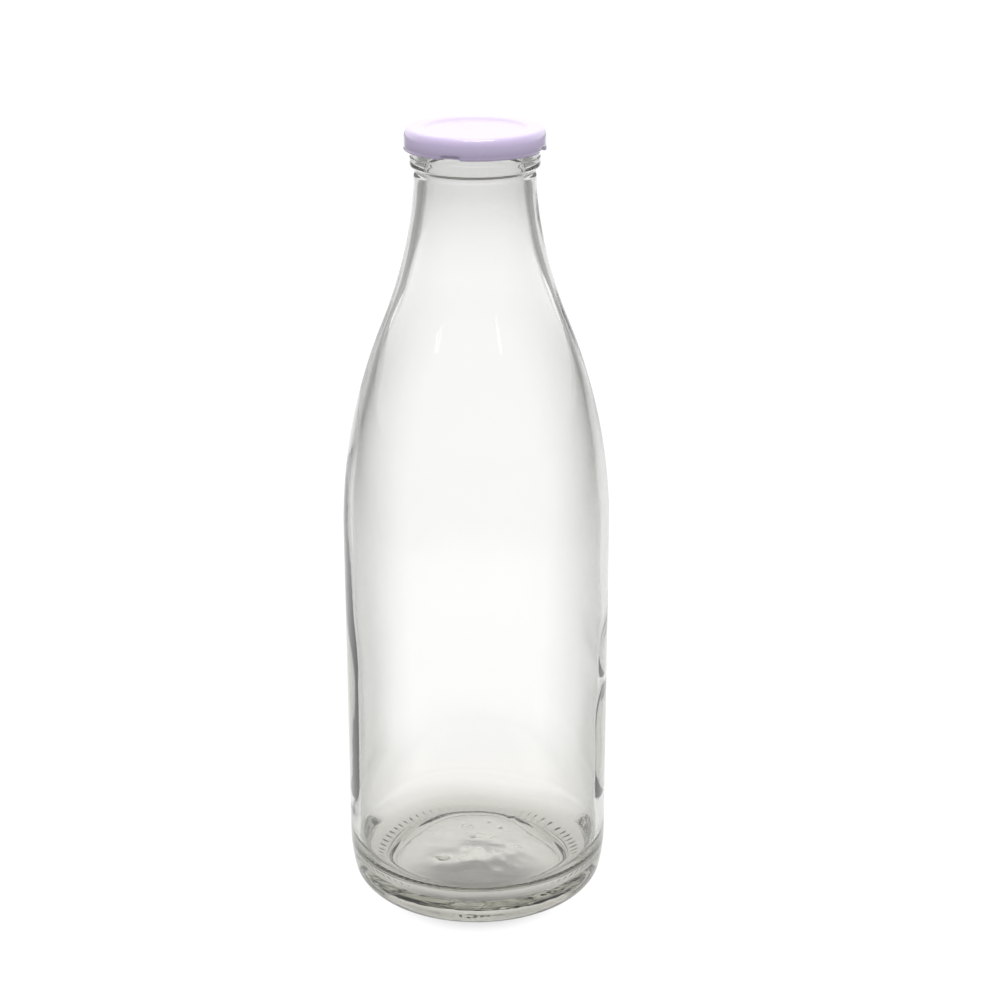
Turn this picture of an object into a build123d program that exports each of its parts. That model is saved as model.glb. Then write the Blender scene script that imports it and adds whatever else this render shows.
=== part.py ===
from build123d import *
from math import acos, atan2, cos, degrees, radians, sin
import os

os.makedirs("parts", exist_ok=True)

# A one-litre glass milk bottle with a four-lug twist-off cap.
# Millimetres, +Z up. The origin is the centre of the ring that the bottle stands on.

# Bottle: overall sizes
bottle_height = 265.3  # from the bearing ring to the sealing rim
body_radius = 45.0
neck_radius = 19.76
body_wall = 3.0
neck_wall = 3.4

# Bottle: heel and bearing ring
heel_radius = 7.5
heel_blend_radius = 59.0
heel_blend_angle = 12.3
bearing_width = 1.8

# Bottle: push-up under the base
push_up_edge_radius = 3.0
push_up_wall_radius = 9.0
push_up_slope = 50.0
push_up_dome_angle = 5.0

# Bottle: inside floor
floor_height = 10.0  # at the centre, above the bearing plane
floor_dome_angle = 9.0
floor_corner_radius = 13.0

# Bottle: shoulder, a crown arc, a throat arc and a short arc that settles into the neck
crown_radius = 188.9
throat_radius = 146.4
settle_radius = 46.7
settle_angle = 5.36

# Bottle: finish, the part of the neck that the cap takes hold of
neck_straight = 1.5
groove_depth = 0.36
groove_rise = 1.4
bead_flare_rise = 2.3
bead_height = 2.4
bead_proud = 0.2  # of the finish wall
bead_top_rise = 0.6
finish_height = 14.2  # from the top of the straight neck to the sealing rim
finish_step = 1.04  # finish wall outside the neck
lip_radius = 1.5
bore_lip_radius = 1.3

# Bottle: knurled grooves on the heel, just outside the bearing ring
knurl_count = 72
knurl_cutter_radius = 1.6
knurl_depth = 0.25
knurl_angle = 12.0  # round the heel arc from the bearing ring
knurl_length = 6.0

# Thread: four ridges, one above each lug
lug_count = 4
first_lug_angle = -20.0
thread_lead = 14.4  # rise for a whole turn
thread_height = 1.15  # out of the finish wall
thread_root = 1.3
thread_tip = 0.8
thread_sink = 0.6  # into the finish wall
thread_start = -13.0  # from the middle of its lug, in degrees
thread_end = 46.0

# Cap: tinplate shell
sheet = 0.2
cap_height = 6.9
panel_recess = 0.8
panel_step_run = 3.0
top_corner_radius = 1.5
top_corner_turn = 55.0
skirt_corner_radius = 3.6
curl_radius = 0.42
curl_return = 0.45
flare_angle = 18.0
flare_radius = 0.8
flare_run = 0.37

# Cap: lugs pressed inwards from the curl
lug_span = 18.0
lug_lift = 0.05  # above the curl's lowest line
lug_dent_span = 13.0
lug_dent_depth = 0.4

# Cap: flowed-in gasket
gasket_thickness = 0.8
gasket_round = 0.25

# Fits
gasket_gap = 0.05  # gasket to rim, and gasket to shell
gasket_edge_gap = 0.1
curl_clearance = 0.21  # curl outside the thread
lug_clearance = 0.35  # lug outside the finish wall
lug_play = 0.15  # lug below its thread ridge
lug_pass = 0.28  # lug above the next thread ridge as it goes by

# Derived: bottle
bore_radius = neck_radius - neck_wall
inner_radius = body_radius - body_wall
finish_radius = neck_radius + finish_step
bead_radius = finish_radius + bead_proud
heel_turn = 90.0 - heel_blend_angle
heel_height = (
    heel_radius * (1 - cos(radians(heel_turn)))
    + heel_blend_radius * sin(radians(heel_blend_angle))
)
bearing_radius = (
    body_radius
    - heel_radius * sin(radians(heel_turn))
    - heel_blend_radius * (1 - cos(radians(heel_blend_angle)))
)
bearing_inner_radius = bearing_radius - bearing_width

# Derived: cap
thread_radius = finish_radius + thread_height
curl_inner_radius = thread_radius + curl_clearance
curl_outer_radius = curl_inner_radius + 2 * curl_radius
lug_inner_radius = finish_radius + lug_clearance
cap_top = bottle_height + gasket_thickness + 2 * gasket_gap + sheet
cap_bottom = cap_top - cap_height
gasket_inner_radius = bore_radius + bore_lip_radius + gasket_edge_gap
lug_angles = [first_lug_angle + index * 360 / lug_count for index in range(lug_count)]


def draw_path(start, heading, steps):
    """Draw lines and tangent arcs end to end and return the end point.

    Each step is (radius, turn in degrees), where a left turn is positive, or
    (0, length) for a straight run.
    """
    point = Vector(*start)
    for radius, amount in steps:
        tangent = Vector(cos(radians(heading)), sin(radians(heading)))
        if radius == 0:
            edge = Line(point, point + tangent * amount)
        else:
            edge = JernArc(point, tangent, radius, amount)
            heading += amount
        point = edge @ 1
    return point


def side_step(shift, run):
    """Two equal arcs that move a path to the left by shift over a run ahead."""
    radius = (shift**2 + run**2) / (4 * abs(shift))
    turn = degrees(2 * atan2(shift, run))
    return [(radius, turn), (radius, -turn)]


def shoulder_steps(wide, narrow, inset):
    """The arcs from an upright body wall to an upright neck, and their height.

    inset is how far the wall lies inside the outer surface.
    """
    crown = crown_radius - inset
    throat = throat_radius + inset
    settle = settle_radius + inset
    settle_cos = cos(radians(settle_angle))
    turn_cos = (crown + throat * settle_cos + settle * (1 - settle_cos) - (wide - narrow)) / (crown + throat)
    turn = degrees(acos(turn_cos))
    rise = (crown + throat) * sin(radians(turn)) - (throat - settle) * sin(radians(settle_angle))
    return [(crown, turn), (throat, settle_angle - turn), (settle, -settle_angle)], rise


def radial_plane(angle):
    """The upright half-plane at an angle about Z, with x outwards and y up."""
    x_dir = (cos(radians(angle)), sin(radians(angle)), 0)
    return Plane(origin=(0, 0, 0), x_dir=x_dir, z_dir=(x_dir[1], -x_dir[0], 0))


# Heights up the bottle
outer_shoulder, outer_rise = shoulder_steps(body_radius, neck_radius, 0)
inner_shoulder, inner_rise = shoulder_steps(inner_radius, bore_radius, body_wall)
finish_base = bottle_height - finish_height
shoulder_base = finish_base - neck_straight - outer_rise
finish_wall = finish_height - groove_rise - bead_flare_rise - bead_height - bead_top_rise - lip_radius

# Underside: the dome's run is what the push-up wall and the bearing ring leave of the base
wall_turn = push_up_slope - push_up_dome_angle
push_up_dome_run = (
    bearing_inner_radius
    - push_up_edge_radius * sin(radians(push_up_slope))
    - push_up_wall_radius * (sin(radians(push_up_slope)) - sin(radians(push_up_dome_angle)))
)
push_up_dome_radius = push_up_dome_run / sin(radians(push_up_dome_angle))
push_up_height = (
    push_up_edge_radius * (1 - cos(radians(push_up_slope)))
    + push_up_wall_radius * (cos(radians(push_up_dome_angle)) - cos(radians(push_up_slope)))
    + push_up_dome_radius * (1 - cos(radians(push_up_dome_angle)))
)

# Inside floor
floor_dome_run = inner_radius - floor_corner_radius * (1 + sin(radians(floor_dome_angle)))
floor_dome_radius = floor_dome_run / sin(radians(floor_dome_angle))
floor_edge = floor_height - floor_dome_radius * (1 - cos(radians(floor_dome_angle)))
inner_heel_height = floor_edge + floor_corner_radius * cos(radians(floor_dome_angle))
inner_wall_height = shoulder_base - inner_heel_height
bore_height = bottle_height - bore_lip_radius - shoulder_base - inner_rise

outer_steps = [
    (push_up_dome_radius, -push_up_dome_angle),
    (push_up_wall_radius, -wall_turn),
    (push_up_edge_radius, push_up_slope),
    (0, bearing_width),
    (heel_radius, heel_turn),
    (heel_blend_radius, heel_blend_angle),
    (0, shoulder_base - heel_height),
    *outer_shoulder,
    (0, neck_straight),
    *side_step(groove_depth, groove_rise),
    *side_step(neck_radius - groove_depth - bead_radius, bead_flare_rise),
    (0, bead_height),
    *side_step(bead_proud, bead_top_rise),
    (0, finish_wall),
    (lip_radius, 90),
]
inner_steps = [
    (floor_dome_radius, -floor_dome_angle),
    (floor_corner_radius, 90 + floor_dome_angle),
    (0, inner_wall_height),
    *inner_shoulder,
    (0, bore_height),
    (bore_lip_radius, -90),
]

# Thread ridge, drawn from its lower end at angle 0
thread_slope = thread_lead / 360
lug_bottom = cap_bottom + lug_lift
ridge_flank = (thread_root - thread_tip) / 2 / thread_height
ridge_sunk_half = thread_root / 2 + ridge_flank * thread_sink
ridge_half_at_lug = thread_root / 2 - ridge_flank * lug_clearance
lug_height = thread_lead / lug_count - 2 * ridge_half_at_lug - thread_slope * lug_span - lug_play - lug_pass
ridge_height_at_lug = lug_bottom + lug_height + lug_play + ridge_half_at_lug + thread_slope * lug_span / 2
ridge_base = ridge_height_at_lug + thread_slope * thread_start

with BuildPart() as thread_ridge:
    with BuildLine() as ridge_path:
        Helix(
            pitch=thread_lead,
            height=thread_slope * (thread_end - thread_start),
            radius=finish_radius,
            center=(0, 0, ridge_base),
        )
    with BuildSketch(radial_plane(0)) as ridge_section:
        with BuildLine():
            Polyline(
                (finish_radius - thread_sink, ridge_base - ridge_sunk_half),
                (thread_radius, ridge_base - thread_tip / 2),
                (thread_radius, ridge_base + thread_tip / 2),
                (finish_radius - thread_sink, ridge_base + ridge_sunk_half),
                close=True,
            )
        make_face()
    sweep(path=ridge_path.wire(), is_frenet=True)

# Bottle: one piece of glass. Each knurl is cut by a rod that lies along the heel's slope.
knurl_offset = knurl_cutter_radius - knurl_depth
knurl_r = bearing_radius + (heel_radius + knurl_offset) * sin(radians(knurl_angle))
knurl_z = heel_radius - (heel_radius + knurl_offset) * cos(radians(knurl_angle))

with BuildPart() as bottle:
    with BuildSketch(Plane.XZ) as glass_section:
        with BuildLine():
            outer_end = draw_path((0, push_up_height), 0, outer_steps)
            inner_end = draw_path((0, floor_height), 0, inner_steps)
            Line(outer_end, inner_end)
            Line((0, push_up_height), (0, floor_height))
        make_face()
    revolve(axis=Axis.Z)
    with PolarLocations(0, lug_count, start_angle=first_lug_angle + thread_start):
        add(thread_ridge.part)
    with PolarLocations(knurl_r, knurl_count):
        with Locations(Location((0, 0, knurl_z), (0, 90 - knurl_angle, 0))):
            Cylinder(knurl_cutter_radius, knurl_length, mode=Mode.SUBTRACT)
bottle.part.label = "bottle"
export_step(bottle.part, "parts/bottle.step")

# Cap shell: one sheet, drawn as its outer face and the same path a sheet's thickness inside
skirt_radius = (
    curl_outer_radius
    - flare_radius * (1 - cos(radians(flare_angle)))
    - flare_run * sin(radians(flare_angle))
    - curl_radius * (1 - cos(radians(flare_angle)))
)
corner_sin = sin(radians(top_corner_turn))
corner_cos = cos(radians(top_corner_turn))
corner_run = top_corner_radius * corner_sin + skirt_corner_radius * (1 - corner_sin)
corner_drop = top_corner_radius * (1 - corner_cos) + skirt_corner_radius * corner_cos
curl_drop = (
    (flare_radius + curl_radius) * sin(radians(flare_angle))
    + flare_run * cos(radians(flare_angle))
    + curl_radius
)
panel_radius = gasket_inner_radius - gasket_edge_gap - panel_step_run
rim_flat = skirt_radius - corner_run - panel_radius - panel_step_run
shell_steps = [
    (0, panel_radius),
    *side_step(panel_recess, panel_step_run),
    (0, rim_flat),
    (top_corner_radius, -top_corner_turn),
    (skirt_corner_radius, top_corner_turn - 90),
    (0, cap_height - corner_drop - curl_drop),
    (flare_radius, flare_angle),
    (0, flare_run),
    (curl_radius, -180 - flare_angle),
    (0, curl_return),
]


def inside_of(steps, thickness):
    """The same path on the sheet's other face, which lies to the right."""
    inside = []
    for radius, amount in steps:
        if radius == 0:
            inside.append((0, amount))
        elif amount > 0:
            inside.append((radius + thickness, amount))
        else:
            inside.append((radius - thickness, amount))
    return inside


with BuildPart() as cap_shell:
    with BuildSketch(Plane.XZ):
        with BuildLine():
            outer_edge = draw_path((0, cap_top - panel_recess), 0, shell_steps)
            inner_edge = draw_path((0, cap_top - panel_recess - sheet), 0, inside_of(shell_steps, sheet))
            Line(outer_edge, inner_edge)
            Line((0, cap_top - panel_recess), (0, cap_top - panel_recess - sheet))
        make_face()
    revolve(axis=Axis.Z)
    lug_outer_radius = curl_outer_radius - lug_dent_depth + sheet / 2
    for angle in lug_angles:
        with BuildSketch(radial_plane(angle - lug_span / 2)):
            with Locations((lug_inner_radius, lug_bottom)):
                Rectangle(lug_outer_radius - lug_inner_radius, lug_height, align=(Align.MIN, Align.MIN))
        revolve(axis=Axis.Z, revolution_arc=lug_span)
        with BuildSketch(radial_plane(angle - lug_dent_span / 2)):
            with Locations((curl_outer_radius - lug_dent_depth, cap_bottom)):
                Rectangle(2 * lug_dent_depth, 2 * curl_radius + curl_return, align=(Align.MIN, Align.MIN))
        revolve(axis=Axis.Z, revolution_arc=lug_dent_span, mode=Mode.SUBTRACT)
cap_shell.part.label = "cap_shell"
export_step(cap_shell.part, "parts/cap_shell.step")

# Gasket: a ring of sealing compound under the raised rim of the cap
with BuildPart() as cap_gasket:
    gasket_outer_radius = skirt_radius - corner_run
    with BuildSketch(Plane.XY.offset(bottle_height + gasket_gap)):
        Circle(gasket_outer_radius)
        Circle(gasket_inner_radius, mode=Mode.SUBTRACT)
    extrude(amount=gasket_thickness)
    fillet(cap_gasket.faces().sort_by(Axis.Z)[0].edges(), radius=gasket_round)
cap_gasket.part.label = "cap_gasket"
export_step(cap_gasket.part, "parts/cap_gasket.step")
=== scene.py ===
"""A one-litre glass milk bottle with a twist-off lug cap, standing in a pale studio.

Metres and degrees, +Z up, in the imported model's frame. The bottle, the cap and its gasket are
each modelled as a smooth closed mesh that takes the place of its plain solid.
"""

from math import acos, atan2, cos, degrees, hypot, pi, radians, sin

import bpy
from bpy.props import FloatProperty, FloatVectorProperty, IntProperty, PointerProperty
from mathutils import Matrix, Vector


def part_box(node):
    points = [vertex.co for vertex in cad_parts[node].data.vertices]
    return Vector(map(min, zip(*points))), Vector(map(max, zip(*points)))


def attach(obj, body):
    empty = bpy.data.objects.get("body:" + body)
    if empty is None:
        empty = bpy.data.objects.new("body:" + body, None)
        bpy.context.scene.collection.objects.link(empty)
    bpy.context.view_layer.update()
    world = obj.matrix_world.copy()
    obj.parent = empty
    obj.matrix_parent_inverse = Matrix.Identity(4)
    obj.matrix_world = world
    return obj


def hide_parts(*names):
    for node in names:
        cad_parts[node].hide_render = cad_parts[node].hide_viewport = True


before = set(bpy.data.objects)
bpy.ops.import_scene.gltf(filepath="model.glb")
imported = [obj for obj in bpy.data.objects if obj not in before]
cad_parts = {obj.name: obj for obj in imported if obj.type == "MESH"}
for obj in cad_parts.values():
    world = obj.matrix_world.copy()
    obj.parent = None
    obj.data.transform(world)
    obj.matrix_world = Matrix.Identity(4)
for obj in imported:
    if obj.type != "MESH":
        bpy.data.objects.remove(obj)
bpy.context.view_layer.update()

bl_info = {
    "name": "Glass Milk Bottle",
    "version": (1, 0, 0),
    "blender": (4, 5, 0),
    "location": "3D View > Sidebar > Milk Bottle",
    "description": "Builds a glass milk bottle with its lug cap, gasket and studio",
    "category": "Mesh",
}

MM = 0.001
GLASS_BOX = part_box("bottle")
SHELL_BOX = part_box("cap_shell")
GASKET_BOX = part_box("cap_gasket")


# Settings


class BottleSettings(bpy.types.PropertyGroup):
    """Sizes and colour of the glass."""

    body_radius: FloatProperty(
        name="Body Radius", description="Outside radius of the straight body",
        default=GLASS_BOX[1].x, unit="LENGTH")
    height: FloatProperty(
        name="Height", description="From the bearing ring to the sealing rim",
        default=GLASS_BOX[1].z, unit="LENGTH")
    neck_radius: FloatProperty(
        name="Neck Radius", description="Outside radius of the straight neck",
        default=19.76 * MM, unit="LENGTH")
    body_wall: FloatProperty(
        name="Body Wall", description="Thickness of the glass in the body",
        default=3.0 * MM, unit="LENGTH")
    neck_wall: FloatProperty(
        name="Neck Wall", description="Thickness of the glass in the neck",
        default=3.4 * MM, unit="LENGTH")
    floor_height: FloatProperty(
        name="Floor Height", description="Inside floor above the bearing plane, at the centre",
        default=10.0 * MM, unit="LENGTH")
    knurl_count: IntProperty(
        name="Knurls", description="Short grooves round the heel",
        default=72, min=12, max=96)
    tint: FloatVectorProperty(
        name="Tint", description="Colour that a thick stretch of the glass takes on",
        default=(0.61, 0.62, 0.555), size=3, subtype="COLOR", min=0.0, max=1.0)
    tint_density: FloatProperty(
        name="Tint Density", description="How fast the glass takes on its tint",
        default=26.0, min=0.0)
    # painted shade: the glass is darkened towards this colour where it is seen at a slant, giving dark bands
    # at its edges beyond what the longer path through the glass gives
    painted_edge_shade: FloatVectorProperty(
        name="Painted Edge Shade", description="Colour that light keeps when it crosses the glass at a slant",
        default=(0.27, 0.27, 0.25), size=3, subtype="COLOR", min=0.0, max=1.0)


class CapSettings(bpy.types.PropertyGroup):
    """Sizes and colour of the cap and its gasket."""

    radius: FloatProperty(
        name="Cap Radius", description="Outside radius of the rolled edge",
        default=SHELL_BOX[1].x, unit="LENGTH")
    top: FloatProperty(
        name="Cap Top", description="Height of the raised rim of the cap",
        default=SHELL_BOX[1].z, unit="LENGTH")
    bottom: FloatProperty(
        name="Cap Bottom", description="Height of the rolled edge's lowest line",
        default=SHELL_BOX[0].z, unit="LENGTH")
    sheet: FloatProperty(
        name="Sheet", description="Thickness of the tinplate",
        default=0.2 * MM, unit="LENGTH")
    enamel: FloatVectorProperty(
        name="Enamel", description="Colour of the outside enamel",
        default=(0.67, 0.575, 0.82), size=3, subtype="COLOR", min=0.0, max=1.0)
    lacquer: FloatVectorProperty(
        name="Lacquer", description="Colour of the lacquer inside the cap",
        default=(0.80, 0.77, 0.70), size=3, subtype="COLOR", min=0.0, max=1.0)
    compound: FloatVectorProperty(
        name="Compound", description="Colour of the sealing compound",
        default=(0.78, 0.78, 0.74), size=3, subtype="COLOR", min=0.0, max=1.0)


class StageSettings(bpy.types.PropertyGroup):
    """Camera, floor and light."""

    camera_place: FloatVectorProperty(
        name="Camera Place", description="Where the camera stands",
        default=(0.00797, -0.6959, 0.3912), size=3, unit="LENGTH")
    camera_drop: FloatProperty(
        name="Camera Drop", description="How far the camera looks below the horizon",
        default=radians(19.84), unit="ROTATION")
    lens: FloatProperty(
        name="Lens", description="Focal length in millimetres", default=78.9, min=10.0)
    floor_size: FloatProperty(
        name="Floor Size", description="Side of the square floor",
        default=24.0, unit="LENGTH")
    lit_floor: FloatProperty(
        name="Lit Floor", description="Brightness of the light table where the camera sees it",
        default=1.0, min=0.0)
    dim_floor: FloatProperty(
        name="Dim Floor", description="Brightness of the light table in front and far to the sides",
        default=0.33, min=0.0)
    back_light: FloatProperty(
        name="Back Light", description="Brightness of the room behind the bottle",
        default=1.1, min=0.0)
    front_light: FloatProperty(
        name="Front Light", description="Brightness of the room in front of the bottle",
        default=0.33, min=0.0)
    top_light: FloatProperty(
        name="Top Light", description="Brightness overhead",
        default=1.05, min=0.0)
    top_power: FloatProperty(
        name="Top Box", description="Power of the soft box overhead in watts",
        default=1.8, min=0.0)
    rim_power: FloatProperty(
        name="Rim Box", description="Power of the small box that lights the edge of the cap in watts",
        default=3.6, min=0.0)
    strip_power: FloatProperty(
        name="Strips", description="Power of each narrow strip in watts",
        default=0.011, min=0.0)


# Mesh helpers

FAINTEST_WEIGHT = 0.002  # anything fainter is left out of a vertex group


def deselect_all():
    """Leave edit mode and deselect every object."""
    if bpy.context.object and bpy.context.object.mode != "OBJECT":
        bpy.ops.object.mode_set(mode="OBJECT")
    bpy.ops.object.select_all(action="DESELECT")


def path_points(start, heading, steps):
    """Points of an outline made of straight runs and tangent arcs.

    Each step is (radius, turn in degrees, rows), where a left turn is positive, or
    (0, length, rows) for a straight run.
    """
    x, z = start
    angle = radians(heading)
    points = [(x, z)]
    for radius, amount, rows in steps:
        if radius == 0:
            for _ in range(rows):
                x += amount / rows * cos(angle)
                z += amount / rows * sin(angle)
                points.append((x, z))
            continue
        turn = radians(amount) / rows
        chord = 2 * radius * sin(abs(turn) / 2)
        for _ in range(rows):
            x += chord * cos(angle + turn / 2)
            z += chord * sin(angle + turn / 2)
            angle += turn
            points.append((x, z))
    return points


def side_step(shift, run, rows):
    """Two equal arcs that move a path to the left by shift over a run ahead."""
    radius = (shift**2 + run**2) / (4 * abs(shift))
    turn = degrees(2 * atan2(shift, run))
    return [(radius, turn, rows), (radius, -turn, rows)]


def spin_outline(name, points, groups, steps):
    """Extrude a vertex along the points, spin the outline about Z and close it.

    groups maps a vertex group's name to its first and last point.
    """
    deselect_all()
    bpy.ops.mesh.primitive_plane_add(size=MM, location=(points[0][0], 0, points[0][1]))
    piece = bpy.context.object
    piece.name = piece.data.name = name
    bpy.ops.object.transform_apply(location=True, rotation=True, scale=True)
    bpy.ops.object.mode_set(mode="EDIT")
    bpy.ops.mesh.select_all(action="SELECT")
    bpy.ops.mesh.merge(type="CENTER")
    for (x0, z0), (x1, z1) in zip(points, points[1:]):
        bpy.ops.mesh.extrude_region_move(TRANSFORM_OT_translate={"value": (x1 - x0, 0, z1 - z0)})
    bpy.ops.object.mode_set(mode="OBJECT")
    for group, (first, last) in groups.items():
        piece.vertex_groups.new(name=group).add(list(range(first, last + 1)), 1.0, "REPLACE")
    bpy.ops.object.mode_set(mode="EDIT")
    bpy.ops.mesh.select_all(action="SELECT")
    bpy.ops.mesh.spin(steps=steps, angle=2 * pi, center=(0, 0, 0), axis=(0, 0, 1))
    bpy.ops.mesh.select_all(action="SELECT")
    bpy.ops.mesh.remove_doubles(threshold=0.002 * MM)
    bpy.ops.mesh.normals_make_consistent(inside=False)
    bpy.ops.object.mode_set(mode="OBJECT")
    bpy.ops.object.shade_smooth()
    return piece


def weigh(piece, name, weight_at, within=None):
    """Make a vertex group from a function of radius, angle in degrees and height."""
    inside = piece.vertex_groups[within].index if within else None
    shares = {}
    for vertex in piece.data.vertices:
        if inside is not None and inside not in [g.group for g in vertex.groups]:
            continue
        x, y, z = vertex.co
        weight = weight_at(hypot(x, y), degrees(atan2(y, x)), z)
        if weight > FAINTEST_WEIGHT:
            shares.setdefault(round(min(weight, 1.0), 3), []).append(vertex.index)
    group = piece.vertex_groups.new(name=name)
    for weight, members in shares.items():
        group.add(members, weight, "REPLACE")
    return group.name


def press(piece, group, distance, texture=None):
    """Move the group's vertices along their normals and apply the move."""
    deselect_all()
    piece.select_set(True)
    bpy.context.view_layer.objects.active = piece
    modifier = piece.modifiers.new("Press " + group, "DISPLACE")
    modifier.direction = "NORMAL"
    modifier.vertex_group = group
    modifier.strength = distance
    modifier.mid_level = 0.5 if texture else 0.0
    modifier.texture = texture
    modifier.texture_coords = "LOCAL"
    bpy.ops.object.modifier_apply(modifier=modifier.name)


def cloud(name, size):
    """A soft procedural noise for uneven glass."""
    texture = bpy.data.textures.new(name, "CLOUDS")
    texture.noise_scale = size
    texture.noise_depth = 1
    return texture


def apart(angle, other):
    """Signed difference of two angles in degrees, from -180 to 180."""
    return (angle - other + 180) % 360 - 180


def ease(value):
    """Smooth step from 0 to 1."""
    value = min(max(value, 0.0), 1.0)
    return value * value * (3 - 2 * value)


def swell(distance, reach):
    """A rounded bump: 1 in the middle, 0 at the reach and beyond."""
    return ease(1 - abs(distance) / reach)


# Shader helpers

# darker at the heel and the finish: partly the thicker glass, partly painted shade
GLASS_TONES_AND_SHADE = (  # share of the height, and the tone of the glass there
    (0.0, (0.52, 0.50, 0.46)),
    (0.025, (0.76, 0.74, 0.70)),
    (0.05, (0.97, 0.96, 0.945)),
    (0.14, (0.99, 0.99, 0.985)),
    (0.30, (1.0, 1.0, 1.0)),
    (0.84, (1.0, 1.0, 1.0)),
    (0.89, (0.95, 0.95, 0.95)),
    (0.93, (0.86, 0.86, 0.86)),
)
# painted shadow of the bottle on the light table
PAINTED_SHADOW_SHIFT = (0, 0.014, 0)  # moves the dark patch under the bottle towards the camera
DRIFT_DARK = 0.93  # the darkest and the lightest that a coat's colour drifts to
DRIFT_LIGHT = 1.05
SMEAR = 0.12  # roughness that a smear adds to a coat


def add_node(tree, kind, place, **values):
    """Add a node and set its properties and input values by name."""
    node = tree.nodes.new(kind)
    node.location = place
    for key, value in values.items():
        if hasattr(node, key):
            setattr(node, key, value)
        else:
            node.inputs[key.replace("_", " ")].default_value = value
    return node


def new_material(name):
    """A material with an empty node tree and its output."""
    material = bpy.data.materials.new(name)
    material.use_nodes = True
    tree = material.node_tree
    tree.nodes.clear()
    output = add_node(tree, "ShaderNodeOutputMaterial", (600, 0))
    return material, tree, output


def group_socket(tree, name, way, kind="NodeSocketFloat", value=None):
    """Add an input or output socket to a node group."""
    socket = tree.interface.new_socket(name=name, in_out=way, socket_type=kind)
    if value is not None:
        socket.default_value = value


def handling_group():
    """Faint smears and specks that handling leaves on a glossy surface, as a roughness."""
    tree = bpy.data.node_groups.new("Handling", "ShaderNodeTree")
    group_socket(tree, "Clean Roughness", "INPUT", value=0.0)
    group_socket(tree, "Smear Roughness", "INPUT", value=0.05)
    group_socket(tree, "Smear Size", "INPUT", value=60.0)
    group_socket(tree, "Roughness", "OUTPUT")
    start = add_node(tree, "NodeGroupInput", (-800, 0))
    end = add_node(tree, "NodeGroupOutput", (600, 0))
    place = add_node(tree, "ShaderNodeTexCoord", (-800, -300))
    smear = add_node(tree, "ShaderNodeTexNoise", (-500, 0), Detail=3.0, Roughness=0.6, Distortion=0.8)
    ramp = add_node(tree, "ShaderNodeMapRange", (-200, 0), From_Min=0.52, From_Max=0.78)
    mix = add_node(tree, "ShaderNodeMapRange", (200, 0))
    tree.links.new(place.outputs["Object"], smear.inputs["Vector"])
    tree.links.new(start.outputs["Smear Size"], smear.inputs["Scale"])
    tree.links.new(smear.outputs["Fac"], ramp.inputs["Value"])
    tree.links.new(ramp.outputs["Result"], mix.inputs["Value"])
    tree.links.new(start.outputs["Clean Roughness"], mix.inputs["To Min"])
    tree.links.new(start.outputs["Smear Roughness"], mix.inputs["To Max"])
    tree.links.new(mix.outputs["Result"], end.inputs["Roughness"])
    return tree


def ripple_group():
    """Slow unevenness and fine grain of a surface, as a normal."""
    tree = bpy.data.node_groups.new("Ripple", "ShaderNodeTree")
    group_socket(tree, "Slow Size", "INPUT", value=25.0)
    group_socket(tree, "Slow Depth", "INPUT", value=0.0001)
    group_socket(tree, "Fine Size", "INPUT", value=400.0)
    group_socket(tree, "Fine Depth", "INPUT", value=0.00001)
    group_socket(tree, "Normal", "OUTPUT", "NodeSocketVector")
    start = add_node(tree, "NodeGroupInput", (-900, 0))
    end = add_node(tree, "NodeGroupOutput", (600, 0))
    place = add_node(tree, "ShaderNodeTexCoord", (-900, -300))
    slow = add_node(tree, "ShaderNodeTexNoise", (-600, 150), Detail=1.0, Roughness=0.4)
    fine = add_node(tree, "ShaderNodeTexNoise", (-600, -150), Detail=2.0, Roughness=0.5)
    slow_bump = add_node(tree, "ShaderNodeBump", (-100, 150), Strength=1.0)
    fine_bump = add_node(tree, "ShaderNodeBump", (200, 0), Strength=1.0)
    for noise, size in ((slow, "Slow Size"), (fine, "Fine Size")):
        tree.links.new(place.outputs["Object"], noise.inputs["Vector"])
        tree.links.new(start.outputs[size], noise.inputs["Scale"])
    tree.links.new(slow.outputs["Fac"], slow_bump.inputs["Height"])
    tree.links.new(start.outputs["Slow Depth"], slow_bump.inputs["Distance"])
    tree.links.new(fine.outputs["Fac"], fine_bump.inputs["Height"])
    tree.links.new(start.outputs["Fine Depth"], fine_bump.inputs["Distance"])
    tree.links.new(slow_bump.outputs["Normal"], fine_bump.inputs["Normal"])
    tree.links.new(fine_bump.outputs["Normal"], end.inputs["Normal"])
    return tree


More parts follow.
